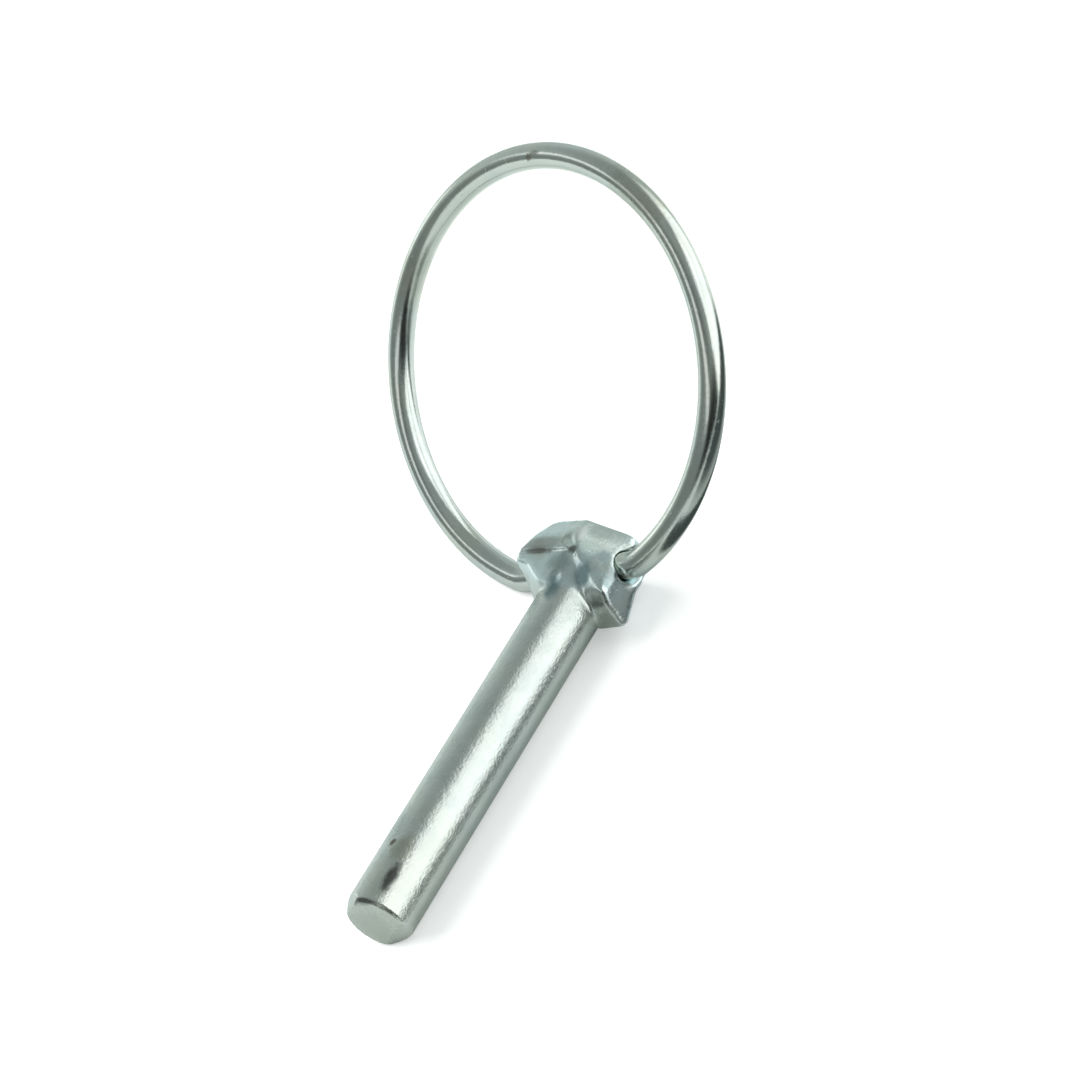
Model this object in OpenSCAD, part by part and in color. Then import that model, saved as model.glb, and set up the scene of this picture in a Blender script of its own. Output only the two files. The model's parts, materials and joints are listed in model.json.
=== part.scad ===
// Lynch pin: a forged pin whose head carries a ring of spring wire in a cross bore.
// Millimetres. The model lies on the plane z = 0 as it comes to rest: on the side of the shank,
// with one side of the ring on the ground. Y runs along the shank, towards the head.

/* [Shank] */
// Diameter of the shank
shank_d = 8; // [7:0.5:9]
// Length from the axis of the cross bore to the end face
shank_len = 53; // [52:1:80]

/* [Tip] */
// Width of the long bevel on one side of the end
tip_long_bevel = 1.9; // [1:0.1:2.4]
// Width of the short bevel on the other side of the end
tip_short_bevel = 1.1; // [0.6:0.1:1.6]
// Length of both bevels along the shank
tip_bevel_len = 1.3; // [0.8:0.1:2]
// Small chamfer all round the end
tip_edge = 0.4; // [0.2:0.1:0.6]
// Turn of the two bevels about the shank
tip_turn = 57; // [0:1:90]

/* [Head] */
// Reach of the right end from the shank's axis
end_right = 7.1; // [6.6:0.1:8]
// Reach of the left end from the shank's axis
end_left = 6.6; // [6:0.1:7]
// Reach of the front flat from the shank's axis
flat_front = 5.9; // [5.6:0.1:6.6]
// Reach of the back flat from the shank's axis
flat_back = 4.2; // [4.1:0.1:4.8]
// Turn of both flats from the line of the bore
flat_turn = 5; // [0:1:10]
// Reach of the front facet from the shank's axis
facet_front = 5.8; // [5.4:0.1:6.2]
// Draft of the front facet, inward from its lower edge to the top
facet_draft = 5; // [0:1:8]
// Reach of the back facet from the shank's axis
facet_back = 4.3; // [4.2:0.1:4.8]
// Reach of the bevel on the head's back right corner
bevel_reach = 5.4; // [5.2:0.1:6]
// Turn of that bevel from the line of the bore
bevel_turn = 57; // [54:1:60]
// Turn of both facets from the line of the bore
facet_turn = 38; // [34:1:44]
// Radius of the long edge between a flat and its facet
edge_r = 3; // [1:0.5:4]
// Radius of the head's other long edges
corner_r = 0.5; // [0.2:0.1:0.8]
// Height of the head above the axis of the bore
head_top = 3.3; // [3:0.1:4.5]
// Depth of the head's upright sides below the axis of the bore
skirt = 1.2; // [0.8:0.1:1.6]
// Radius of the domed crown's rim, about the middle of the head
crown_r = 8; // [7.6:0.1:8.6]

/* [Ears] */
// How far the right ear reaches below the axis of the bore
right_drop = 5.2; // [4.6:0.1:5.6]
// How far in front of the shank's axis the right ear's rim reaches that depth
right_rim = 2.1; // [1.6:0.1:2.6]
// Reach of the right ear's back at its lower end
ear_back = 3.2; // [2.4:0.1:3.8]
// How far the left ear reaches below the axis of the bore
left_drop = 2.2; // [2:0.1:3]
// How far the neck reaches below the axis of the bore
neck_drop = 6; // [5.8:0.1:8]
// Step in from the front flat to the left ear below it
ear_step = 0.35; // [0.2:0.05:0.6]
// Lean of the left ear's front, inward from top to bottom
ear_lean = 15; // [8:1:20]
// Lean of the right ear's end, inward from top to bottom
end_lean = 5; // [0:1:12]
// Lean of the right ear's back corner, outward from top to bottom
back_lean = 16; // [0:1:20]
// Reach of the left ear past the shank's axis, to the right
left_past = 1; // [0.4:0.1:1.4]
// Distance from the shank's axis to the right ear
right_from = 2.5; // [1.6:0.1:3]

/* [Bore] */
// Running clearance all round the wire
bore_gap = 0.05; // [0.02:0.01:0.1]
// How far the bore passes in front of the shank's axis
bore_off = 0.7; // [0:0.1:1.2]
// How far each mouth opens out, on the radius
mouth_flare = 0.7; // [0.4:0.1:0.9]
// Depth of each opened mouth
mouth_depth = 1.1; // [0.8:0.1:1.6]

/* [Ring] */
// Outer diameter of the ring
ring_d = 53.4; // [48:0.2:54]
// Diameter of the wire
wire_d = 3.2; // [2.8:0.1:3.4]
// How far the ring's full circle would dip below the axis of the bore
ring_dip = 1.7; // [1.4:0.1:2.2]
// How far the ring sits to the left of the shank's axis
ring_off = 1.2; // [0:0.1:1.4]
// Radius of the bend at each end of the wire
bend_r = 4; // [3:0.5:5]
// How far the bending tool's mark stands proud at each end of a bend
bend_mark = 0.01; // [0.01:0.01:0.03]
// Gap between the two ends of the wire, inside the bore
wire_gap = 2; // [1:0.5:4]
// Lean of the ring from the line of the shank, as it rests
ring_lean = 50; // [40:1:60]

/* [Hidden] */
$fn = 96;

shank_r = shank_d / 2;
wire_r = wire_d / 2;
bore_r = wire_r + bore_gap;
ring_r = ring_d / 2 - wire_r;
ring_rise = ring_r - ring_dip;

// Points of the right ear's lower rim: distance behind the front flat, depth below the skirt.
RIGHT_RIM = [[0, 0.3], [1, 0.7], [2.1, 1.7]];
// Points of the left ear's lower rim: distance before the back flat, depth below the skirt.
LEFT_RIM = [[0, 0], [2, 0.4], [3.1, 1.4]];
// Points of the throat: swell over the shank's radius, depth below the axis of the bore.
THROAT = [[0, neck_drop], [0.12, 4.2], [1, 2.5], [1.5, skirt], [1.5, 0]];
// Points of the left ear's underside: swell over the shank's radius, depth below the axis of the bore.
FLARE = [[0, neck_drop], [3, left_drop + 0.6], [6, left_drop - 0.2], [6, 0]];
// Points of the crown: distance in from its rim, height above the axis of the bore.
CROWN = [[0, -skirt], [0.9, head_top - 1.7], [1.6, head_top - 0.2], [2.4, head_top], [crown_r, head_top + 0.1]];
// Longer than any side of the head.
beyond = 20;

// ---- outline of the head, seen along the shank ----

// Each side: the turn of its normal, its reach from the shank's axis, and the radius of the edge after it.
EAR_SIDES = [
  [0, end_right, corner_r],
  [90 + flat_turn, flat_back, edge_r],
  [90 + facet_turn, facet_back, corner_r],
  [180, end_left, corner_r],
  [270 + flat_turn, flat_front, edge_r],
  [270 + facet_turn, facet_front, corner_r]
];
// The upright part also has a bevel on its back right corner.
BEVEL = [bevel_turn, bevel_reach, corner_r];
SKIRT_SIDES = concat([BEVEL], [for (i = [1 : len(EAR_SIDES)]) EAR_SIDES[i % len(EAR_SIDES)]]);

function along(turn) = [cos(turn), sin(turn)];

// The point where two sides cross.
function meet(a, b) = [
  a[1] * sin(b[0]) - b[1] * sin(a[0]),
  b[1] * cos(a[0]) - a[1] * cos(b[0])
] / sin(b[0] - a[0]);

// Points of the outline, with an arc of n steps at each corner.
function outline_points(sides, n = 6) = [
  for (i = [0 : len(sides) - 1])
    let(
      a = sides[i],
      b = sides[(i + 1) % len(sides)],
      turned = (b[0] - a[0] + 360) % 360,
      centre = meet([a[0], a[1] - a[2]], [b[0], b[1] - a[2]])
    )
    for (k = [0 : n]) centre + a[2] * along(a[0] + turned * k / n)
];

module outline(sides) {
  polygon(outline_points(sides));
}

// ---- pin, upright, with the axis of its bore at z = 0 ----

// A profile in Y and Z, drawn out along the bore from x0 to x1.
module along_bore(profile, x0, x1) {
  translate([x0, 0, 0]) rotate([90, 0, 90]) linear_extrude(x1 - x0) polygon(profile);
}

// What lies outside a side that leans in below the skirt by an angle, or out by a negative one.
module lean_cut(turn, reach, lean, low = -beyond) {
  rotate([0, 0, turn]) translate([reach, 0, -skirt]) rotate([0, lean, 0])
    translate([0, -beyond, low]) cube([beyond, 2 * beyond, beyond + 1]);
}

// The lower rim of each ear climbs from its drop to the skirt as it crosses the facet.
module right_ear() {
  along_bore([
    for (p = RIGHT_RIM) [-flat_front + p[0], -skirt - p[1]],
    [-right_rim, -right_drop],
    [0, -neck_drop],
    [ear_back, -neck_drop],
    [flat_back + 1, -skirt],
    [flat_back + 1, 0],
    [-flat_front, 0]
  ], right_from, end_right);
}

module left_ear() {
  along_bore([
    for (p = LEFT_RIM) [flat_back - p[0], -skirt - p[1]],
    [0, -neck_drop],
    [-flat_front - 1, -neck_drop],
    [-flat_front - 1, 0],
    [flat_back, 0]
  ], -end_left, left_past);
}

// Draws the left ear in to the neck below its drop.
module flare() {
  rotate_extrude() polygon([[0, 0], [0, -neck_drop], for (p = FLARE) [shank_r + p[0], -p[1]]]);
}

// The hollow between the ears, where the head runs down into the shank.
module throat() {
  rotate_extrude() polygon([[0, 0], [0, -neck_drop], for (p = THROAT) [shank_r + p[0], -p[1]]]);
}

module ears() {
  difference() {
    intersection() {
      union() {
        right_ear();
        intersection() {
          left_ear();
          flare();
        }
        throat();
      }
      translate([0, 0, -neck_drop]) linear_extrude(neck_drop) outline(EAR_SIDES);
    }
    lean_cut(0, end_right, end_lean);
    lean_cut(bevel_turn, bevel_reach, -back_lean);
    lean_cut(270 + flat_turn, flat_front - ear_step, ear_lean);
  }
}

module crown() {
  translate([0, (flat_back - flat_front) / 2, 0]) rotate_extrude()
    polygon([[0, -neck_drop - 1], [crown_r, -neck_drop - 1], for (p = CROWN) [crown_r - p[0], p[1]]]);
}

module head() {
  difference() {
    intersection() {
      union() {
        translate([0, 0, -skirt]) linear_extrude(skirt + head_top + 1) outline(SKIRT_SIDES);
        ears();
      }
      crown();
    }
    lean_cut(270 + facet_turn, facet_front, -facet_draft, -1);
  }
}

module shank() {
  intersection() {
    rotate_extrude() polygon([
      [0, 0],
      [0, -shank_len],
      [shank_r - tip_edge, -shank_len],
      [shank_r, -shank_len + tip_edge],
      [shank_r, 0]
    ]);
    rotate([0, 0, tip_turn]) translate([0, shank_d, -shank_len]) rotate([90, 0, 0])
      linear_extrude(2 * shank_d) polygon([
        [-shank_r + tip_short_bevel, 0],
        [shank_r - tip_long_bevel, 0],
        [shank_r, tip_bevel_len],
        [shank_d, tip_bevel_len],
        [shank_d, shank_len],
        [-shank_d, shank_len],
        [-shank_d, tip_bevel_len],
        [-shank_r, tip_bevel_len]
      ]);
  }
}

module bore() {
  rotate([0, 90, 0]) cylinder(r = bore_r, h = 4 * end_right, center = true);
  for (end = [[90, end_right], [-90, end_left]])
    rotate([0, end[0], 0]) translate([0, 0, end[1] - mouth_depth])
      cylinder(r1 = bore_r, r2 = bore_r + 2 * mouth_flare, h = 2 * mouth_depth);
}

module upright_pin() {
  difference() {
    union() {
      shank();
      head();
    }
    translate([0, -bore_off, 0]) bore();
  }
}

// ---- ring, flat, with the axis of the bore along X ----

bend_x = sqrt(pow(ring_r - bend_r, 2) - pow(ring_rise - bend_r, 2));
bend_turn = acos((ring_rise - bend_r) / (ring_r - bend_r));

module wire_arc(r, turn) {
  rotate_extrude(angle = turn) translate([r, 0]) circle(d = wire_d);
}

// The faint, narrow band that the bending tool leaves round the wire.
module mark() {
  rotate([0, 90, 0]) cylinder(r = wire_r + bend_mark, h = wire_r / 8, center = true);
}

// One side of the ring's lower end: the bend, and the straight end that sits in the bore.
module wire_end(straight) {
  translate([bend_x, bend_r, 0]) {
    rotate([0, 0, -90]) wire_arc(bend_r, bend_turn);
    rotate([0, 0, bend_turn]) translate([0, -bend_r, 0]) mark();
  }
  translate([bend_x, 0, 0]) {
    mark();
    rotate([0, -90, 0]) cylinder(d = wire_d, h = straight);
  }
}

module flat_ring() {
  translate([-ring_off, 0, 0]) {
    translate([0, ring_rise, 0]) rotate([0, 0, bend_turn - 90]) wire_arc(ring_r, 360 - 2 * bend_turn);
    wire_end(bend_x - ring_off - wire_gap / 2);
    rotate([0, 180, 0]) wire_end(bend_x + ring_off - wire_gap / 2);
  }
}

module upright_ring() {
  translate([0, -bore_off, 0]) rotate([90 + ring_lean, 0, 0]) flat_ring();
}

// ---- how it lies ----

// How low the pin and the ring reach under the shank's axis when the pin is rolled over by an angle.
function pin_low(roll) =
  max(shank_r, max([for (p = outline_points(EAR_SIDES)) p.y * cos(roll) - p.x * sin(roll)]));
function ring_low(roll) =
  ring_off * sin(roll) - (bore_off + ring_rise * sin(ring_lean)) * cos(roll)
  + ring_r * sqrt(pow(sin(roll), 2) + pow(sin(ring_lean) * cos(roll), 2)) + wire_r;

// Halves the span until the ring's lowest point is level with the pin's.
function settle(low, high, steps = 30) =
  let(mid = (low + high) / 2)
    steps == 0 ? mid : ring_low(mid) < pin_low(mid) ? settle(mid, high, steps - 1) : settle(low, mid, steps - 1);

// more than the pin can roll over
steep = 60;
roll = settle(0, steep);
// a head that reaches lower than the shank tips the pin onto its far end
tilt = asin((pin_low(roll) - shank_r) / shank_len);
lift = shank_r * cos(tilt) + (shank_len - tip_edge) * sin(tilt);
// the middle of the model, seen from above
mid_x = -ring_off * cos(roll) - (bore_off + ring_rise * sin(ring_lean)) * sin(roll);
mid_y = ((ring_rise + ring_r) * cos(ring_lean) + wire_r - shank_len) / 2;

module at_rest() {
  translate([-mid_x, -mid_y, lift]) rotate([tilt - 90, 0, 0]) rotate([0, 0, -roll]) children();
}

module pin() {
  color("silver") at_rest() upright_pin();
}

module ring() {
  color("gainsboro") at_rest() upright_ring();
}

pin();
ring();
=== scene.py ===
import json
import logging
import math
from collections.abc import Callable
from dataclasses import dataclass, field
from enum import Enum
from typing import Any

import bpy
from mathutils import Matrix, Vector

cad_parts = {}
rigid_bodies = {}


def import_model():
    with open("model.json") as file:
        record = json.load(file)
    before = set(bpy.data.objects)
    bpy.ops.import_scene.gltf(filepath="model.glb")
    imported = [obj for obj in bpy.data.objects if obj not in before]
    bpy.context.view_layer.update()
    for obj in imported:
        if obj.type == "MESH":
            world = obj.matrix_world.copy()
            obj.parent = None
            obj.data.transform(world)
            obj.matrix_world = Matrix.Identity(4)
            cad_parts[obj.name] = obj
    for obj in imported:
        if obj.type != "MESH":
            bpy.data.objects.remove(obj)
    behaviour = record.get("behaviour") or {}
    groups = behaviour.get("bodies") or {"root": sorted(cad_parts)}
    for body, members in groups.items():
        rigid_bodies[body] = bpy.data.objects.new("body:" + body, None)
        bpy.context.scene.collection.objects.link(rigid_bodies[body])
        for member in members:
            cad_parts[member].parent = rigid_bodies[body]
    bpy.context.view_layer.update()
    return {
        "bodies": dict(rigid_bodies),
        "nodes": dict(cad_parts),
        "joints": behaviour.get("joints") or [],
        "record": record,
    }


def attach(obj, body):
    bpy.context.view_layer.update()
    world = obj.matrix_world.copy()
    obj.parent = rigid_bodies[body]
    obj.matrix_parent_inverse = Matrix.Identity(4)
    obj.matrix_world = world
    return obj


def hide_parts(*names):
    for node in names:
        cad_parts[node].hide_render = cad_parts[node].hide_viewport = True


MM = 0.001
LOG = logging.getLogger("lynch_pin")

Colour = tuple[float, float, float, float]
Point = tuple[float, float, float]
Span = tuple[float, float]
Socket = bpy.types.NodeSocket
Outputs = bpy.types.bpy_prop_collection
Groups = dict[str, bpy.types.NodeTree]


# ---- helpers ------------------------------------------------------------------------------------


def deselect_all() -> None:
    """Leave edit mode and clear the selection, so that an operator acts only on what is picked next."""
    if bpy.context.object and bpy.context.object.mode != "OBJECT":
        bpy.ops.object.mode_set(mode="OBJECT")
    bpy.ops.object.select_all(action="DESELECT")


def pick(piece: bpy.types.Object) -> None:
    """Select only one piece and make it active.

    Args:
        piece: the object to select.
    """
    deselect_all()
    piece.select_set(True)
    bpy.context.view_layer.objects.active = piece


def place(piece: bpy.types.Object, matrix: Matrix) -> None:
    """Move a piece by a matrix and apply it, so that its place is in its mesh.

    Args:
        piece: the mesh object to move.
        matrix: the rigid move, from the mesh's present axes to its new ones.
    """
    piece.matrix_world = matrix
    pick(piece)
    bpy.ops.object.transform_apply(location=True, rotation=True, scale=True)


def add_group(piece: bpy.types.Object, name: str, inside: Callable[[Vector], float]) -> None:
    """Add a vertex group that holds the points which pass a test.

    Args:
        piece: the mesh object.
        name: the group's name.
        inside: a function of a point's place that gives its weight from 0 to 1.
    """
    group = piece.vertex_groups.new(name=name)
    for vertex in piece.data.vertices:
        weight = inside(vertex.co)
        if weight > 0:
            group.add([vertex.index], weight, "REPLACE")


def finish_modifier(piece: bpy.types.Object, kind: str, **settings: Any) -> None:
    """Add a modifier, set it and apply it.

    Args:
        piece: the mesh object.
        kind: the modifier's type.
        settings: its properties by name.
    """
    pick(piece)
    modifier = piece.modifiers.new(kind.title(), kind)
    for name, value in settings.items():
        setattr(modifier, name, value)
    bpy.ops.object.modifier_apply(modifier=modifier.name)


def heading(azimuth: float, elevation: float) -> Vector:
    """Give the unit vector that points along an azimuth from +X and an elevation, both in degrees."""
    around, up = math.radians(azimuth), math.radians(elevation)
    return Vector((math.cos(up) * math.cos(around), math.cos(up) * math.sin(around), math.sin(up)))


def ramp(value: float, low: float, high: float) -> float:
    """Give 0 at low, 1 at high and a smooth curve between them, where high may be the lower one."""
    share = min(1.0, max(0.0, (value - low) / (high - low)))
    return share * share * (3 - 2 * share)


# ---- the pin's own axes ---------------------------------------------------------------------------


@dataclass(frozen=True)
class PinAxes:
    """The axes in which the pin is modelled: X along the cross bore, Z up the shank, in metres.

    Attributes:
        to_row: the move from these axes to the row frame.
    """

    to_row: Matrix

    @classmethod
    def from_frame(cls, frame: dict[str, Any], bore_off: float) -> "PinAxes":
        """Read the axes from the hinge and the shank's mount.

        Args:
            bore_off: how far the bore passes in front of the shank's axis.

        Returns:
            The pin's axes, with the origin on the shank's axis level with the bore.
        """
        hinge = frame["joints"][0]
        shank = frame["record"]["mounts"][0]
        x_axis = Vector(hinge["axis"]).normalized()
        z_axis = -Vector(shank["axis"]).normalized()
        y_axis = z_axis.cross(x_axis).normalized()
        x_axis = y_axis.cross(z_axis)
        matrix = Matrix((x_axis, y_axis, z_axis)).transposed().to_4x4()
        matrix.translation = Vector(hinge["pos_m"]) + bore_off * y_axis
        return cls(matrix)


# ---- node trees -----------------------------------------------------------------------------------


class Graph:
    """A node tree that is filled by short calls."""

    def __init__(self, tree: bpy.types.NodeTree) -> None:
        """Start with an empty tree."""
        self.tree = tree
        tree.nodes.clear()

    def add(self, kind: str, **settings: Any) -> bpy.types.Node:
        """Add a node.

        Args:
            kind: the node's type.
            settings: its properties by name.

        Returns:
            The new node.
        """
        node = self.tree.nodes.new(kind)
        for name, value in settings.items():
            setattr(node, name, value)
        return node

    def feed(self, socket: Socket, value: Any) -> None:
        """Link a socket to another, or set it to a plain value.

        Args:
            socket: the input to feed.
            value: another node's output, or a number, a vector or a colour.
        """
        if isinstance(value, Socket):
            self.tree.links.new(value, socket)
        else:
            socket.default_value = value

    def maths(self, operation: str, a: Any, b: Any = 0.0) -> Socket:
        """Add a Math node.

        Args:
            operation: what it does.
            a: its first input.
            b: its second input.

        Returns:
            Its output.
        """
        node = self.add("ShaderNodeMath", operation=operation)
        self.feed(node.inputs[0], a)
        self.feed(node.inputs[1], b)
        return node.outputs[0]

    def vectors(self, operation: str, a: Any, b: Any = (0.0, 0.0, 0.0)) -> bpy.types.Node:
        """Add a Vector Math node.

        Args:
            operation: what it does.
            a: its first input.
            b: its second input.

        Returns:
            The node, whose output is called Vector or Value.
        """
        node = self.add("ShaderNodeVectorMath", operation=operation)
        self.feed(node.inputs[0], a)
        self.feed(node.inputs[1], b)
        return node

    def span(self, value: Any, low: Any, high: Any, to_low: float = 0.0, to_high: float = 1.0) -> Socket:
        """Map a value smoothly from one span to another.

        Args:
            value: what is mapped.
            low: the start of its span.
            high: the end of its span.
            to_low: what the start becomes.
            to_high: what the end becomes.

        Returns:
            The mapped value.
        """
        node = self.add("ShaderNodeMapRange", interpolation_type="SMOOTHSTEP")
        for socket, item in zip(node.inputs, (value, low, high, to_low, to_high)):
            self.feed(socket, item)
        return node.outputs[0]

    def blend(self, share: Any, first: Any, second: Any) -> Socket:
        """Mix two colours.

        Args:
            share: how much of the second one shows.
            first: a colour.
            second: a colour.

        Returns:
            The mixed colour.
        """
        node = self.add("ShaderNodeMix", data_type="RGBA")
        colour_a, colour_b = node.inputs[6], node.inputs[7]
        self.feed(node.inputs["Factor"], share)
        self.feed(colour_a, first)
        self.feed(colour_b, second)
        return node.outputs[2]

    def use(self, tree: bpy.types.NodeTree, inputs: dict[str, Any]) -> Outputs:
        """Place a shader group.

        Args:
            tree: the group.
            inputs: what feeds its inputs, by name.

        Returns:
            Its outputs, by name.
        """
        node = self.add("ShaderNodeGroup", node_tree=tree)
        for label, value in inputs.items():
            self.feed(node.inputs[label], value)
        return node.outputs

    def placed(self, to_row: Matrix) -> Socket:
        """Find the place on the surface in some axes, in millimetres.

        Args:
            to_row: the move from those axes to the row frame.

        Returns:
            The place.
        """
        where = self.add("ShaderNodeMapping", vector_type="TEXTURE")
        self.feed(where.inputs["Vector"], self.add("ShaderNodeTexCoord").outputs["Object"])
        where.inputs["Location"].default_value = to_row.translation
        where.inputs["Rotation"].default_value = to_row.to_euler()
        where.inputs["Scale"].default_value = (MM, MM, MM)
        return where.outputs[0]

    def noise(self, vector: Any, scale: Any, detail: float, rough: float) -> Socket:
        """Add a noise texture.

        Args:
            vector: where it is read.
            scale: its scale.
            detail: its octaves.
            rough: how much the finer octaves count.

        Returns:
            Its value, about 0.5.
        """
        node = self.add("ShaderNodeTexNoise")
        self.feed(node.inputs["Vector"], vector)
        self.feed(node.inputs["Scale"], scale)
        node.inputs["Detail"].default_value = detail
        node.inputs["Roughness"].default_value = rough
        return node.outputs["Fac"]

    def either_way(self, noise: Socket) -> Socket:
        """Move a noise value to lie about 0, so that it pushes both ways."""
        return self.maths("SUBTRACT", noise, 0.5)


class GroupGraph(Graph):
    """A shader node group with named inputs and outputs."""

    def __init__(self, name: str, inputs: dict[str, Any], outputs: tuple[str, ...]) -> None:
        """Make the group.

        Args:
            name: the group's name.
            inputs: each input's name and its default; a tuple is a vector.
            outputs: each output's name; they are all plain values.
        """
        super().__init__(bpy.data.node_groups.new(name, "ShaderNodeTree"))
        for label, default in inputs.items():
            kind = "NodeSocketVector" if isinstance(default, tuple) else "NodeSocketFloat"
            socket = self.tree.interface.new_socket(label, in_out="INPUT", socket_type=kind)
            socket.default_value = default
        for label in outputs:
            self.tree.interface.new_socket(label, in_out="OUTPUT", socket_type="NodeSocketFloat")
        self.given = self.add("NodeGroupInput").outputs
        self.result = self.add("NodeGroupOutput").inputs


# ---- shader groups --------------------------------------------------------------------------------

ORIGIN: Point = (0.0, 0.0, 0.0)

# The skin of the plating: heights in millimetres, scales per millimetre, spans of a noise's value.
GRAIN_HEIGHT = 0.047
GRAIN_STRETCH: Point = (1.0, 1.0, 0.7)
SWELL_HEIGHT = 0.015
SWELL_TO_CLOUD = 2.7
PIT_DEPTH = 0.006
PIT_SCALE = 1.6
PIT_SPAN: Span = (0.70, 0.78)
CLOUD_SPAN: Span = (0.38, 0.64)
ROUGH_SPAN: Span = (0.3, 0.7)

# How fine the ragged rim of a spot is, per millimetre.
RIM_SCALE = 1.3

# How much a turn of one radian counts beside a millimetre across the wire.
STREAK_TURN = 1.2


def plated_grain() -> bpy.types.NodeTree:
    """Build the skin that the plating leaves: fine grain, a slow swell, cloudy patches and small pits.

    Returns:
        The node group. Its coordinates are in millimetres.
    """
    group = GroupGraph(
        "plated_grain",
        {"Vector": ORIGIN, "Grain": 3.7, "Cloud": 0.35, "Relief": 1.0},
        ("Height", "Cloud", "Rough", "Pits"),
    )
    vector, cloud_scale = group.given["Vector"], group.given["Cloud"]
    drawn = group.vectors("MULTIPLY", vector, GRAIN_STRETCH).outputs["Vector"]
    fine = group.noise(drawn, group.given["Grain"], detail=3.0, rough=0.6)
    cloud = group.noise(vector, cloud_scale, detail=3.0, rough=0.55)
    swell = group.noise(vector, group.maths("MULTIPLY", cloud_scale, SWELL_TO_CLOUD), detail=2.0, rough=0.5)
    pits = group.span(group.noise(vector, PIT_SCALE, detail=2.0, rough=0.4), *PIT_SPAN)
    height = group.maths("MULTIPLY", group.either_way(fine), GRAIN_HEIGHT)
    height = group.maths("ADD", height, group.maths("MULTIPLY", group.either_way(swell), SWELL_HEIGHT))
    height = group.maths("SUBTRACT", height, group.maths("MULTIPLY", pits, PIT_DEPTH))
    group.feed(group.result["Height"], group.maths("MULTIPLY", height, group.given["Relief"]))
    group.feed(group.result["Cloud"], group.span(cloud, *CLOUD_SPAN))
    group.feed(group.result["Rough"], group.span(fine, *ROUGH_SPAN, -1.0, 1.0))
    group.feed(group.result["Pits"], pits)
    return group.tree


def round_spot() -> bpy.types.NodeTree:
    """Build the mask of one soft spot with a ragged rim, full inside its core.

    Returns:
        The node group. Its coordinates are in millimetres.
    """
    group = GroupGraph(
        "round_spot",
        {"Vector": ORIGIN, "Centre": ORIGIN, "Reach": (1.0, 1.0, 1.0), "Ragged": 0.4, "Core": 0.35},
        ("Mask",),
    )
    given = group.given
    offset = group.vectors("SUBTRACT", given["Vector"], given["Centre"]).outputs["Vector"]
    share = group.vectors("DIVIDE", offset, given["Reach"]).outputs["Vector"]
    length = group.vectors("LENGTH", share).outputs["Value"]
    ragged = group.either_way(group.noise(given["Vector"], RIM_SCALE, detail=3.0, rough=0.6))
    # the noise reaches half way to each side, so it counts twice
    ragged = group.maths("MULTIPLY", ragged, group.maths("MULTIPLY", given["Ragged"], 2.0))
    distance = group.maths("ADD", length, ragged)
    group.feed(group.result["Mask"], group.span(distance, 1.0, given["Core"]))
    return group.tree


def wire_streaks() -> bpy.types.NodeTree:
    """Build the faint lines that drawing leaves along a wire bent to a ring.

    Returns:
        The node group. Its coordinates are in millimetres, in axes whose Z runs through the ring.
    """
    group = GroupGraph("wire_streaks", {"Vector": ORIGIN, "Fine": 5.0}, ("Height",))
    parts = group.add("ShaderNodeSeparateXYZ")
    group.feed(parts.inputs[0], group.given["Vector"])
    squares = [group.maths("MULTIPLY", parts.outputs[axis], parts.outputs[axis]) for axis in ("X", "Y")]
    turn = group.maths("ARCTAN2", parts.outputs["Y"], parts.outputs["X"])
    across = group.add("ShaderNodeCombineXYZ")
    group.feed(across.inputs["X"], group.maths("SQRT", group.maths("ADD", *squares)))
    group.feed(across.inputs["Y"], group.maths("MULTIPLY", turn, STREAK_TURN))
    group.feed(across.inputs["Z"], parts.outputs["Z"])
    lines = group.noise(across.outputs[0], group.given["Fine"], detail=3.0, rough=0.55)
    group.feed(group.result["Height"], group.either_way(lines))
    return group.tree


# ---- finishes -------------------------------------------------------------------------------------


class StainAndShade(Enum):
    """The colours of the marks on the plating: real stains, and painted shade, painted shadow and a painted
    highlight.
    """

    OLIVE = (0.30, 0.29, 0.16, 1.0)
    BROWN = (0.16, 0.12, 0.09, 1.0)
    DARK = (0.05, 0.05, 0.05, 1.0)
    TEAL = (0.20, 0.30, 0.32, 1.0)
    # the colour of a painted highlight
    PALE = (0.97, 1.00, 0.98, 1.0)


@dataclass(frozen=True)
class Mark:
    """One mark on a piece in the pin's own axes, in millimetres: a stain, a nick, painted shade or a painted
    highlight.

    Attributes:
        kind: what the mark is.
        centre: its middle.
        reach: its half sizes along X, Y and Z.
        strength: how much it covers, from 0 to 1.
        ragged: how ragged its rim is.
    """

    kind: StainAndShade
    centre: Point
    reach: Point
    strength: float
    ragged: float


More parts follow.
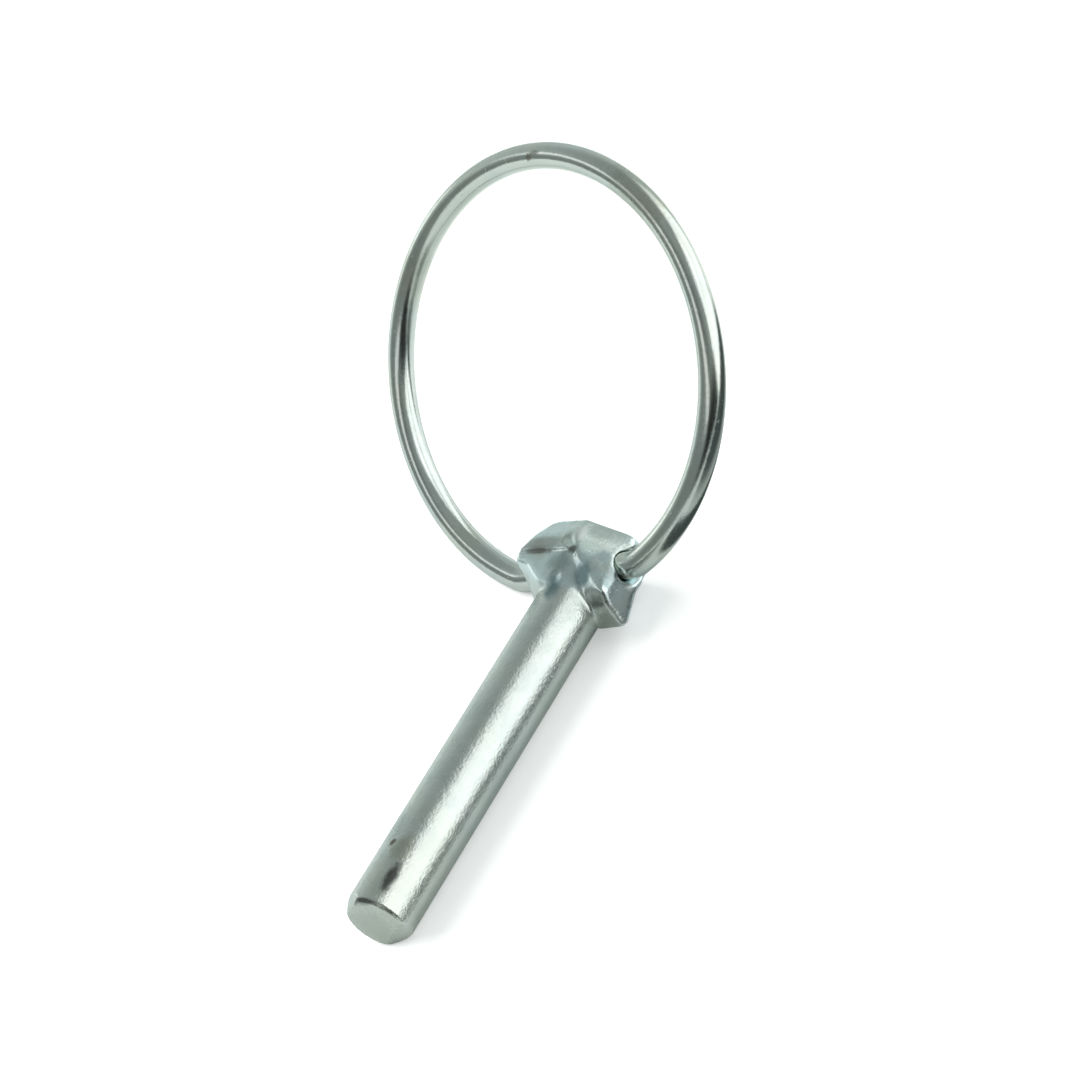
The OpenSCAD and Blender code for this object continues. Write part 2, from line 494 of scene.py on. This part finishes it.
@dataclass(frozen=True)
class ZincFinish:
    """Bright zinc plate, satin, with the marks that use leaves on it, and with painted shade and a painted
    highlight.

    Attributes:
        name: the material's name.
        colour: the clean plating.
        head_colour: the clean plating on the pin's head.
        head_from: where the head's plating begins and is full, in millimetres along Z.
        head_relief: share of the relief that shows on the head.
        cloud_colour: the plating where it is cloudy.
        cloud_share: how much the cloudy patches show.
        cloud: scale of the cloudy patches, per millimetre.
        tint: a second colour of the passivation, in wide patches.
        tint_share: how much it shows.
        tint_scale: scale of its patches, per millimetre.
        tint_span: the noise's values at which it begins and is full.
        roughness: the mean roughness.
        rough_spread: how far the roughness varies.
        pit_rough: how much rougher a pit is.
        mark_rough: how much rougher a mark is, a stain or painted shade.
        relief: strength of the grain's relief.
        grain: scale of the grain, per millimetre.
        streak: depth of the lines along the piece, in millimetres.
        line_scale: scale of a straight piece's lines, per millimetre.
        line_stretch: their scale along the piece, as a share of that.
        marks: the stains and nicks, and the painted shade, painted shadows and painted highlight.
    """

    name: str
    colour: Colour = (0.74, 0.78, 0.75, 1.0)
    head_colour: Colour = (0.80, 0.94, 0.97, 1.0)
    head_from: Span = (-6.0, -4.5)
    head_relief: float = 0.2
    cloud_colour: Colour = (0.64, 0.70, 0.68, 1.0)
    cloud_share: float = 0.6
    cloud: float = 0.35
    tint: Colour = (0.75, 0.77, 0.66, 1.0)
    tint_share: float = 0.35
    tint_scale: float = 0.11
    tint_span: Span = (0.42, 0.62)
    roughness: float = 0.22
    rough_spread: float = 0.03
    pit_rough: float = 0.2
    mark_rough: float = 0.25
    relief: float = 1.0
    grain: float = 3.7
    streak: float = 0.004
    line_scale: float = 3.0
    line_stretch: float = 0.12
    marks: tuple[Mark, ...] = ()

    def make(self, to_row: Matrix, groups: Groups, ring: Matrix | None = None) -> bpy.types.Material:
        """Build the material.

        Args:
            to_row: the axes in which the patterns and marks are given.
            groups: the shader groups by name.
            ring: the axes of the ring, whose lines run round; a straight piece has none.

        Returns:
            The material.
        """
        material = bpy.data.materials.new(self.name)
        material.use_nodes = True
        graph = Graph(material.node_tree)
        place_mm = graph.placed(to_row)
        pattern = {"Vector": place_mm, "Grain": self.grain, "Cloud": self.cloud, "Relief": self.relief}
        skin = graph.use(groups["grain"], pattern)
        on_head = self.head_mask(graph, place_mm) if ring is None else None
        colour, rough = self.plating(graph, place_mm, skin, on_head)
        colour, rough = self.stained_and_shaded(graph, groups["spot"], place_mm, colour, rough)
        height = graph.maths("ADD", skin["Height"], self.lines(graph, groups["streaks"], place_mm, ring))
        if on_head is not None:
            height = graph.maths("MULTIPLY", height, graph.span(on_head, 0.0, 1.0, 1.0, self.head_relief))
        bump = graph.add("ShaderNodeBump")
        bump.inputs["Strength"].default_value = 1.0
        bump.inputs["Distance"].default_value = MM
        graph.feed(bump.inputs["Height"], height)
        shader = graph.add("ShaderNodeBsdfPrincipled")
        shader.inputs["Metallic"].default_value = 1.0
        graph.feed(shader.inputs["Base Color"], colour)
        graph.feed(shader.inputs["Roughness"], rough)
        graph.feed(shader.inputs["Normal"], bump.outputs[0])
        graph.feed(graph.add("ShaderNodeOutputMaterial").inputs[0], shader.outputs[0])
        return material

    def head_mask(self, graph: Graph, place_mm: Socket) -> Socket:
        """Find where the pin's head is.

        Args:
            graph: the material's nodes.
            place_mm: the place in the pin's own millimetres.

        Returns:
            A mask that is 1 on the head and 0 on the shank.
        """
        parts = graph.add("ShaderNodeSeparateXYZ")
        graph.feed(parts.inputs[0], place_mm)
        return graph.span(parts.outputs["Z"], *self.head_from)

    def plating(
        self, graph: Graph, place_mm: Socket, skin: Outputs, on_head: Socket | None
    ) -> tuple[Socket, Socket]:
        """Give the clean plating, with its cloudy and its tinted patches.

        Args:
            graph: the material's nodes.
            place_mm: the place in the pin's own millimetres.
            skin: the outputs of the plated grain.
            on_head: the mask of the head, or None on a piece without one.

        Returns:
            Its colour and its roughness.
        """
        colour = self.colour if on_head is None else graph.blend(on_head, self.colour, self.head_colour)
        cloudy = graph.maths("MULTIPLY", skin["Cloud"], self.cloud_share)
        colour = graph.blend(cloudy, colour, self.cloud_colour)
        tinted = graph.span(graph.noise(place_mm, self.tint_scale, detail=2.0, rough=0.5), *self.tint_span)
        colour = graph.blend(graph.maths("MULTIPLY", tinted, self.tint_share), colour, self.tint)
        rough = graph.maths("ADD", graph.maths("MULTIPLY", skin["Rough"], self.rough_spread), self.roughness)
        rough = graph.maths("ADD", rough, graph.maths("MULTIPLY", skin["Pits"], self.pit_rough))
        return colour, rough

    def stained_and_shaded(
        self, graph: Graph, spot: bpy.types.NodeTree, place_mm: Socket, colour: Socket, rough: Socket
    ) -> tuple[Socket, Socket]:
        """Lay the marks over the plating, one after another: real stains, and painted shade, painted shadow
        and a painted highlight.

        Args:
            graph: the material's nodes.
            spot: the shader group of a soft spot.
            place_mm: the place in the pin's own millimetres.
            colour: the plating's colour.
            rough: the plating's roughness.

        Returns:
            The colour and the roughness with the marks.
        """
        for mark in self.marks:
            where = {"Vector": place_mm, "Centre": mark.centre, "Reach": mark.reach, "Ragged": mark.ragged}
            cover = graph.maths("MULTIPLY", graph.use(spot, where)["Mask"], mark.strength)
            colour = graph.blend(cover, colour, mark.kind.value)
            rough = graph.maths("ADD", rough, graph.maths("MULTIPLY", cover, self.mark_rough))
        return colour, rough

    def lines(
        self, graph: Graph, streaks: bpy.types.NodeTree, place_mm: Socket, ring: Matrix | None
    ) -> Socket:
        """Give the height of the lines along the piece, in millimetres.

        Args:
            graph: the material's nodes.
            streaks: the shader group of the lines round a ring.
            place_mm: the place in the pin's own millimetres.
            ring: the axes of the ring, or None for lines along Z.

        Returns:
            The height.
        """
        if ring is None:
            drawn = graph.vectors("MULTIPLY", place_mm, (1.0, 1.0, self.line_stretch)).outputs["Vector"]
            line = graph.either_way(graph.noise(drawn, self.line_scale, detail=3.0, rough=0.6))
        else:
            line = graph.use(streaks, {"Vector": graph.placed(ring)})["Height"]
        return graph.maths("MULTIPLY", line, self.streak)


PIN_MARKS = (
    # the head, mostly painted light and shade: first a painted highlight down the crown's rounded front edge
    Mark(StainAndShade.PALE, (2.0, -5.8, 1.6), (1.0, 2.0, 2.4), 0.6, 0.4),
    # painted shade over a bright facet of the right ear, and a painted shadow under the wire at the hole's
    # lip
    Mark(StainAndShade.TEAL, (6.9, -2.6, -4.0), (1.0, 1.6, 1.0), 0.6, 0.3),
    Mark(StainAndShade.BROWN, (6.6, 0.2, -1.9), (1.4, 1.8, 0.8), 0.6, 0.3),
    # a painted dark reflection along the foot of the crown's front, and painted shade in the crease under
    # the ledge
    Mark(StainAndShade.BROWN, (-2.6, -6.0, -0.4), (4.4, 1.6, 1.7), 0.5, 0.25),
    Mark(StainAndShade.DARK, (-3.2, -5.8, -1.35), (3.6, 1.0, 0.42), 0.6, 0.2),
    # painted shade in the hollows and the valley round the throat, beside the hole, in the fold and under
    # the right ear's rim
    Mark(StainAndShade.TEAL, (0.6, -4.8, -2.6), (2.2, 2.0, 1.8), 0.45, 0.5),
    Mark(StainAndShade.TEAL, (0.9, -4.0, -6.3), (1.2, 1.3, 1.9), 0.7, 0.3),
    Mark(StainAndShade.TEAL, (3.7, -3.4, -3.7), (1.5, 1.6, 2.4), 0.85, 0.3),
    Mark(StainAndShade.TEAL, (6.8, -2.0, -2.8), (1.2, 1.2, 1.4), 0.4, 0.5),
    Mark(StainAndShade.DARK, (2.1, -5.3, -1.1), (0.9, 0.9, 0.9), 0.75, 0.5),
    Mark(StainAndShade.TEAL, (0.4, -4.0, -5.2), (1.2, 1.4, 2.6), 0.6, 0.5),
    Mark(StainAndShade.TEAL, (5.3, -3.2, -0.8), (1.4, 1.4, 1.2), 0.55, 0.6),
    # an olive tone low on the right ear
    Mark(StainAndShade.OLIVE, (5.6, -3.6, -6.2), (1.8, 2.4, 2.4), 0.25, 0.6),
    # the shank, towards its end
    Mark(StainAndShade.OLIVE, (1.9, -3.5, -45.2), (1.6, 1.6, 2.4), 0.45, 0.4),
    Mark(StainAndShade.BROWN, (0.4, -4.0, -44.7), (0.5, 0.6, 0.7), 0.85, 0.5),
    Mark(StainAndShade.DARK, (2.45, -3.2, -49.1), (0.85, 1.2, 3.0), 0.9, 0.3),
    Mark(StainAndShade.TEAL, (-1.0, -3.9, -42.0), (2.0, 2.0, 3.2), 0.25, 0.6),
    # the end face: an olive tone over it, a painted shadow line along its edge, and a teal tint in its
    # middle
    Mark(StainAndShade.OLIVE, (0.0, 0.0, -53.0), (9.0, 9.0, 0.7), 0.22, 0.1),
    Mark(StainAndShade.DARK, (1.0, -3.7, -52.8), (3.6, 1.3, 0.32), 0.8, 0.2),
    Mark(StainAndShade.TEAL, (-0.4, 0.4, -53.0), (3.1, 3.1, 0.7), 0.16, 0.1),
)

RING_MARKS = (
    Mark(StainAndShade.BROWN, (1.6, -38.7, 29.8), (0.6, 0.6, 0.6), 0.7, 0.6),
    Mark(StainAndShade.DARK, (2.6, -38.9, 30.0), (1.1, 0.4, 0.4), 0.5, 0.5),
    Mark(StainAndShade.OLIVE, (17.7, -33.3, 26.0), (7.0, 6.0, 6.0), 0.3, 0.6),
    Mark(StainAndShade.OLIVE, (-20.0, -30.0, 24.0), (4.0, 5.0, 5.0), 0.2, 0.6),
)


# ---- pieces ---------------------------------------------------------------------------------------


@dataclass
class ForgedPin:
    """The pin: the shank and its forged head, softened from the solid.

    A span gives where a stretch begins and where it is full, and may run either way.

    Attributes:
        shank_radius: radius of the shank.
        shank_top: height under which the shank is round.
        shank_low: height over which the shank is round.
        shank_skin: span of the distance outside the shank's radius that still belongs to it.
        shank_fade: span above the shank's top over which it fades.
        head_fade: height above the shank's top at which the head is full.
        weld: distance under which the solid's points are one.
        voxel: size of the mesh's cells.
        soften: rounds of smoothing on the head.
        soften_throat: rounds of smoothing in the hollow between the ears.
        throat_right: span of the hollow's right side.
        throat_back: span of its back.
        throat_foot: span of its lower end.
        throat_roof: span of its upper end.
        head_front: distance from the shank's axis to the head's front.
        crown_low: height from which the crown leans in.
        crown_top: height of the head.
        crown_lean: how far the crown leans in at its top.
        crown_rise: how far its top rises.
        fold: the two ends of the fold in the crown's front, in millimetres.
        fold_depth: its depth.
        fold_width: its half width.
        finish: its material.
    """

    shank_radius: float = 4.0 * MM
    shank_top: float = -6.8 * MM
    shank_low: float = -51.2 * MM
    shank_skin: Span = (0.5 * MM, 0.2 * MM)
    shank_fade: Span = (2.9 * MM, 2.3 * MM)
    head_fade: float = 1.5 * MM
    weld: float = 0.002 * MM
    voxel: float = 0.16 * MM
    soften: int = 19
    soften_throat: int = 80
    throat_right: Span = (7.8 * MM, 6.8 * MM)
    throat_back: Span = (3.0 * MM, 1.0 * MM)
    throat_foot: Span = (-8.8 * MM, -7.0 * MM)
    throat_roof: Span = (-1.5 * MM, -2.3 * MM)
    head_front: float = 5.9 * MM
    crown_low: float = 0.8 * MM
    crown_top: float = 3.3 * MM
    crown_lean: float = 0.5 * MM
    crown_rise: float = 0.6 * MM
    fold: tuple[Point, Point] = ((0.9, -6.0, 0.5), (2.1, -5.6, -1.1))
    fold_depth: float = 0.45 * MM
    fold_width: float = 0.75 * MM
    finish: ZincFinish = ZincFinish("pin_zinc", marks=PIN_MARKS)

    def build(self, frame: dict[str, Any], axes: PinAxes) -> bpy.types.Object:
        """Model the pin over its solid.

        Args:
            axes: the pin's own axes.

        Returns:
            The finished mesh, in the row frame.
        """
        piece = self.copy_solid(frame["nodes"]["pin"])
        place(piece, axes.to_row.inverted())
        finish_modifier(
            piece, "REMESH", mode="VOXEL", voxel_size=self.voxel, adaptivity=0.0, use_smooth_shade=True
        )
        self.swell_crown(piece)
        self.press_fold(piece)
        self.smooth(piece)
        bpy.ops.object.shade_smooth()
        place(piece, axes.to_row)
        return piece

    def copy_solid(self, node: bpy.types.Object) -> bpy.types.Object:
        """Copy the solid and merge its loose triangles.

        Args:
            node: the solid's own object, which stays as it is.

        Returns:
            The copy, without the marks that tell the solid's object apart.
        """
        pick(node)
        bpy.ops.object.duplicate()
        piece = bpy.context.object
        piece.name = "forged_pin"
        piece.parent = None
        for key in [key for key in piece.keys() if key.startswith("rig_")]:
            del piece[key]
        pick(piece)
        bpy.ops.object.mode_set(mode="EDIT")
        bpy.ops.mesh.select_all(action="SELECT")
        bpy.ops.mesh.remove_doubles(threshold=self.weld)
        bpy.ops.object.mode_set(mode="OBJECT")
        return piece

    def swell_crown(self, piece: bpy.types.Object) -> None:
        """Lean the head's front in towards its top, as a forged crown leans.

        Args:
            piece: the head, in the pin's own axes.
        """
        for vertex in piece.data.vertices:
            share = ramp(vertex.co.z, self.crown_low, self.crown_top)
            front = ramp(-vertex.co.y, 0.0, self.head_front)
            vertex.co.y += self.crown_lean * share * front
            vertex.co.z += self.crown_rise * share

    def press_fold(self, piece: bpy.types.Object) -> None:
        """Press the short fold into the crown's front, where the metal lapped.

        Args:
            piece: the head, in the pin's own axes.
        """
        start, end = (Vector(point) * MM for point in self.fold)
        line = end - start
        for vertex in piece.data.vertices:
            share = min(1.0, max(0.0, (vertex.co - start).dot(line) / line.length_squared))
            away = (vertex.co - start - share * line).length
            vertex.co.y += self.fold_depth * ramp(away, self.fold_width, 0.0)

    def smooth(self, piece: bpy.types.Object) -> None:
        """Soften the head, true up the round shank, and fill the hollow between the ears.

        Args:
            piece: the whole pin, in its own axes.
        """
        add_group(piece, "head", lambda co: ramp(co.z, self.shank_top, self.shank_top + self.head_fade))
        add_group(piece, "throat", self.in_throat)
        add_group(piece, "tip", lambda co: 1.0 if co.z < self.shank_low else 0.0)
        add_group(piece, "shank", self.on_shank)
        finish_modifier(piece, "SMOOTH", factor=0.5, iterations=self.soften, vertex_group="head")
        finish_modifier(
            piece, "CAST", cast_type="CYLINDER", factor=1.0, use_z=False, size=self.shank_radius,
            use_radius_as_size=False, vertex_group="shank",
        )
        finish_modifier(piece, "SMOOTH", factor=0.5, iterations=self.soften_throat, vertex_group="throat")
        finish_modifier(piece, "SMOOTH", factor=0.5, iterations=1, vertex_group="tip")
        piece.vertex_groups.clear()

    def in_throat(self, point: Vector) -> float:
        """Tell how far a point belongs to the hollow between the ears.

        Args:
            point: its place in the pin's own axes.

        Returns:
            1 in the hollow, fading towards the rest of the head.
        """
        across = ramp(point.x, *self.throat_right) * ramp(point.y, *self.throat_back)
        along = ramp(point.z, *self.throat_foot) * ramp(point.z, *self.throat_roof)
        return across * along

    def on_shank(self, point: Vector) -> float:
        """Tell how far a point belongs to the round stretch of the shank.

        Args:
            point: its place in the pin's own axes.

        Returns:
            1 on the shank, fading at its top, and 0 elsewhere.
        """
        if point.z < self.shank_low:
            return 0.0
        skin, fade = self.shank_skin, self.shank_fade
        near = ramp(math.hypot(point.x, point.y), self.shank_radius + skin[0], self.shank_radius + skin[1])
        return near * ramp(point.z, self.shank_top + fade[0], self.shank_top + fade[1])


@dataclass
class WireRing:
    """The ring: one length of spring wire, spun round its bends.

    Attributes:
        wire_radius: radius of the wire.
        ring_radius: radius of the ring at the middle of the wire.
        rise: height of the ring's centre above the bore's axis.
        bend_radius: radius of each bend at the middle of the wire.
        offset: how far the ring sits to the left of the shank.
        gap: gap between the wire's ends inside the bore.
        bore_off: how far the bore passes in front of the shank's axis.
        lean: angle from the line of the shank.
        sides: faces round the wire.
        short_steps: steps along each straight end and each bend.
        ring_steps: steps round the ring.
        weld: distance under which neighbouring points are one.
        finish: its material.
    """

    wire_radius: float = 1.6 * MM
    ring_radius: float = 25.1 * MM
    rise: float = 23.4 * MM
    bend_radius: float = 4.0 * MM
    offset: float = 1.2 * MM
    gap: float = 2.0 * MM
    bore_off: float = 0.7 * MM
    lean: float = math.radians(50)
    sides: int = 40
    short_steps: int = 12
    ring_steps: int = 240
    weld: float = 0.001 * MM
    finish: ZincFinish = ZincFinish("ring_zinc", roughness=0.17, relief=0.22, streak=0.008, marks=RING_MARKS)

    def build(self, axes: PinAxes) -> bpy.types.Object:
        """Spin the wire from one end to the other, and lean it into place.

        Args:
            axes: the pin's own axes.

        Returns:
            The finished mesh, in the row frame.
        """
        inner = self.ring_radius - self.bend_radius
        height = self.rise - self.bend_radius
        turn = math.acos(height / inner)
        bend_x = math.sqrt(inner**2 - height**2)
        straight = bend_x - self.offset - self.gap / 2
        deselect_all()
        bpy.ops.mesh.primitive_circle_add(
            vertices=self.sides, radius=self.wire_radius, fill_type="NGON",
            location=(self.gap / 2, 0, 0), rotation=(0, math.radians(90), 0),
        )
        piece = bpy.context.object
        piece.name = "wire_ring"
        bpy.ops.object.transform_apply(location=True, rotation=True, scale=True)
        bpy.ops.object.mode_set(mode="EDIT")
        bpy.ops.mesh.select_all(action="SELECT")
        self.extrude(straight, self.short_steps)
        self.spin((bend_x - self.offset, self.bend_radius, 0), turn, self.short_steps)
        self.spin((-self.offset, self.rise, 0), 2 * (math.pi - turn), self.ring_steps)
        self.spin((-bend_x - self.offset, self.bend_radius, 0), turn, self.short_steps)
        self.extrude(straight + 2 * self.offset, self.short_steps)
        bpy.ops.mesh.select_all(action="SELECT")
        bpy.ops.mesh.remove_doubles(threshold=self.weld)
        bpy.ops.mesh.normals_make_consistent(inside=False)
        bpy.ops.object.mode_set(mode="OBJECT")
        bpy.ops.object.shade_smooth_by_angle(angle=math.radians(40))
        place(piece, self.to_row(axes))
        return piece

    def to_row(self, axes: PinAxes) -> Matrix:
        """Give the move from the flat ring, with the bore along X, to its leaning place."""
        turned = Matrix.Rotation(math.radians(90) + self.lean, 4, "X")
        return axes.to_row @ (Matrix.Translation((0, -self.bore_off, 0)) @ turned)

    def centre_to_row(self, axes: PinAxes) -> Matrix:
        """Give the axes at the middle of the ring, with Z through it."""
        return self.to_row(axes) @ Matrix.Translation((-self.offset, self.rise, 0))

    @staticmethod
    def extrude(length: float, steps: int) -> None:
        """Draw the selected end out along X, in even steps."""
        for _ in range(steps):
            bpy.ops.mesh.extrude_region_move(TRANSFORM_OT_translate={"value": (length / steps, 0, 0)})

    @staticmethod
    def spin(centre: Point, turn: float, steps: int) -> None:
        """Spin the selected end round a centre in the ring's plane."""
        bpy.ops.mesh.spin(steps=steps, angle=-turn, center=centre, axis=(0, 0, 1))


# ---- studio ---------------------------------------------------------------------------------------

UNLIT: Colour = (0.05, 0.06, 0.06, 1.0)


@dataclass(frozen=True)
class Softbox:
    """One soft lamp, aimed at the object.

    Attributes:
        name: its name.
        azimuth: direction from the object, degrees from +X.
        elevation: degrees above the floor.
        size: width and height in metres.
        light: radiance of its face, where 1 is white.
        shines: whether polished metal shows it; if not, it only lights the floor.
        distance: metres from the object.
    """

    name: str
    azimuth: float
    elevation: float
    size: tuple[float, float]
    light: float
    shines: bool = True
    distance: float = 0.9

    def build(self, aim: Vector) -> None:
        """Add the lamp.

        Args:
            aim: the point that it faces.
        """
        away = heading(self.azimuth, self.elevation)
        lamp = bpy.data.lights.new(self.name, "AREA")
        lamp.shape = "RECTANGLE"
        lamp.size, lamp.size_y = self.size
        lamp.energy = self.light * math.pi * self.size[0] * self.size[1]
        holder = bpy.data.objects.new(self.name, lamp)
        holder.visible_glossy = self.shines
        bpy.context.scene.collection.objects.link(holder)
        holder.location = aim + away * self.distance
        holder.rotation_euler = (-away).to_track_quat("-Z", "Y").to_euler()


@dataclass(frozen=True)
class Patch:
    """A patch of painted shadow or of painted light on the floor, seen only by polished metal.

    Attributes:
        centre: its middle, in millimetres.
        reach: its half sizes, in millimetres.
        colour: its colour.
    """

    centre: Point
    reach: Point
    colour: Colour


@dataclass(frozen=True)
class Shade:
    """A darker side of the studio.

    Attributes:
        azimuth: its direction, degrees from +X.
        elevation: degrees above the floor.
        outer: degrees from its middle at which it begins.
        inner: degrees from its middle at which it is full.
        light: share of the light that is left there.
    """

    azimuth: float
    elevation: float
    outer: float
    inner: float
    light: float


@dataclass
class Studio:
    """The floor, the lamps, the world and the camera.

    Attributes:
        aim: the point that the camera looks at.
        azimuth: the camera's direction from the aim, degrees from +X.
        elevation: the camera's elevation in degrees.
        roll: the camera's roll in degrees.
        distance: from the aim to the camera.
        lens: focal length in millimetres.
        sensor: width of the camera's sensor in millimetres.
        near: where the camera's view begins, in metres.
        floor_size: width of the floor.
        floor_colour: colour of the floor.
        floor_glow: light added to the floor where the camera sees it.
        floor_in_reflections: the floor as polished metal sees it, a painted darker tone that only
            reflections show.
        patches: the painted shadows and the painted light patch on it, which only reflections show.
        patch_core: share of a patch's reach in which it is full.
        horizon_light: strength of the light from the horizon.
        ceiling_light: strength of the light from overhead.
        ceiling_span: heights on the unit sphere at which the ceiling begins and is full.
        sky_colour: colour of that light.
        shades: the darker sides of the studio.
        lamps: the soft lamps.
    """

    aim: Vector = field(default_factory=lambda: Vector((8.08, 3.79, 16.77)) * MM)
    azimuth: float = -46.56
    elevation: float = 40.92
    roll: float = -23.0
    distance: float = 451.44 * MM
    lens: float = 133.3
    sensor: float = 36.0
    near: float = 0.01
    floor_size: float = 6.0
    floor_colour: Colour = (0.86, 0.86, 0.86, 1.0)
    floor_glow: float = 0.34
    floor_in_reflections: Colour = (0.57, 0.61, 0.60, 1.0)
    patches: tuple[Patch, ...] = (
        # a painted light patch behind the object, a painted shadow pool to its right and a painted shadow
        # strip beside the shank, all seen only in reflections
        Patch((0.0, 180.0, 0.0), (220.0, 150.0, 1.0), (0.92, 0.94, 0.92, 1.0)),
        Patch((190.0, 38.0, 0.0), (172.0, 155.0, 1.0), UNLIT),
        Patch((28.0, -16.0, 0.0), (8.0, 60.0, 1.0), UNLIT),
    )
    patch_core: float = 0.78
    horizon_light: float = 0.54
    ceiling_light: float = 0.32
    ceiling_span: Span = (0.25, 0.88)
    sky_colour: Colour = (0.88, 1.0, 0.97, 1.0)
    shades: tuple[Shade, ...] = (
        Shade(-104.0, 0.0, 74.0, 40.0, 0.42),
        Shade(-45.0, -2.0, 47.0, 22.0, 0.06),
    )
    lamps: tuple[Softbox, ...] = (
        Softbox("right_softbox", 33.0, 31.0, (1.85, 1.16), 0.88),
        Softbox("top_softbox", 5.0, 62.0, (0.5, 0.3), 0.6),
        Softbox("left_strip", 175.0, 3.0, (0.32, 0.22), 0.8),
        Softbox("front_strip", -124.0, 37.0, (1.45, 0.2), 0.7),
        Softbox("floor_key", -160.0, 46.0, (1.0, 1.0), 3.4, shines=False),
    )

    def build(self, spot: bpy.types.NodeTree) -> None:
        """Build the whole studio.

        Args:
            spot: the shader group of a soft spot.
        """
        self.build_floor(spot)
        self.build_world()
        for lamp in self.lamps:
            lamp.build(self.aim)
        self.build_camera()

    def build_floor(self, spot: bpy.types.NodeTree) -> None:
        """Lay the pale floor. Polished metal sees it darker, with painted shadows beside the object and a
        painted light patch behind it.

        Args:
            spot: the shader group of a soft spot.
        """
        deselect_all()
        bpy.ops.mesh.primitive_plane_add(size=self.floor_size)
        floor = bpy.context.object
        floor.name = "floor"
        material = bpy.data.materials.new("white_floor")
        material.use_nodes = True
        graph = Graph(material.node_tree)
        place_mm = graph.placed(Matrix.Identity(4))
        reflected_floor = self.floor_in_reflections
        for patch in self.patches:
            where = {"Vector": place_mm, "Centre": patch.centre, "Reach": patch.reach}
            mask = graph.use(spot, where | {"Ragged": 0.0, "Core": self.patch_core})["Mask"]
            reflected_floor = graph.blend(mask, reflected_floor, patch.colour)
        path = graph.add("ShaderNodeLightPath").outputs
        paint = graph.add("ShaderNodeBsdfDiffuse")
        graph.feed(paint.inputs["Color"], graph.blend(path["Is Glossy Ray"], self.floor_colour, reflected_floor))
        glow = graph.add("ShaderNodeEmission")
        glow.inputs["Color"].default_value = (1.0, 1.0, 1.0, 1.0)
        graph.feed(glow.inputs["Strength"], graph.maths("MULTIPLY", path["Is Camera Ray"], self.floor_glow))
        both = graph.add("ShaderNodeAddShader")
        graph.feed(both.inputs[0], paint.outputs[0])
        graph.feed(both.inputs[1], glow.outputs[0])
        graph.feed(graph.add("ShaderNodeOutputMaterial").inputs[0], both.outputs[0])
        floor.data.materials.append(material)

    def build_world(self) -> None:
        """Light the studio softly from all round."""
        world = bpy.data.worlds.new("studio")
        world.use_nodes = True
        bpy.context.scene.world = world
        graph = Graph(world.node_tree)
        back = graph.add("ShaderNodeBackground")
        back.inputs["Color"].default_value = self.sky_colour
        direction = graph.add("ShaderNodeTexCoord").outputs["Generated"]
        parts = graph.add("ShaderNodeSeparateXYZ")
        graph.feed(parts.inputs[0], direction)
        strength = graph.span(parts.outputs["Z"], *self.ceiling_span, self.horizon_light, self.ceiling_light)
        for shade in self.shades:
            middle = heading(shade.azimuth, shade.elevation)
            towards = graph.vectors("DOT_PRODUCT", direction, middle).outputs["Value"]
            outer, inner = (math.cos(math.radians(angle)) for angle in (shade.outer, shade.inner))
            strength = graph.maths("MULTIPLY", strength, graph.span(towards, outer, inner, 1.0, shade.light))
        graph.feed(back.inputs["Strength"], strength)
        graph.feed(graph.add("ShaderNodeOutputWorld").inputs[0], back.outputs[0])

    def build_camera(self) -> None:
        """Set the camera at the viewing angle."""
        away = heading(self.azimuth, self.elevation)
        camera = bpy.data.cameras.new("camera")
        camera.lens = self.lens
        camera.sensor_width = self.sensor
        camera.clip_start = self.near
        holder = bpy.data.objects.new("camera", camera)
        bpy.context.scene.collection.objects.link(holder)
        facing = (-away).to_track_quat("-Z", "Y").to_matrix().to_4x4()
        turned = facing @ Matrix.Rotation(math.radians(self.roll), 4, "Z")
        holder.matrix_world = Matrix.Translation(self.aim + away * self.distance) @ turned
        bpy.context.scene.camera = holder


def dress(piece: bpy.types.Object, material: bpy.types.Material, body: str) -> None:
    """Give a finished piece its material, and let it stand for the node of the same name as its body.

    Args:
        piece: the finished mesh.
        material: its finish.
        body: the body it rides on, which is also its node.
    """
    piece.data.materials.clear()
    piece.data.materials.append(material)
    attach(piece, body)
    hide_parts(body)
    LOG.info("%s: %d faces, rides on %s", piece.name, len(piece.data.polygons), body)


def main() -> None:
    """Build the pin, the ring and the studio."""
    logging.basicConfig(level=logging.INFO)
    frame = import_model()
    ring = WireRing()
    pin = ForgedPin()
    axes = PinAxes.from_frame(frame, ring.bore_off)
    groups = {"grain": plated_grain(), "spot": round_spot(), "streaks": wire_streaks()}
    dress(pin.build(frame, axes), pin.finish.make(axes.to_row, groups), "pin")
    dress(ring.build(axes), ring.finish.make(axes.to_row, groups, ring.centre_to_row(axes)), "ring")
    Studio().build(groups["spot"])
    bpy.context.scene.view_settings.view_transform = "Standard"


if __name__ == "__main__":
    main()
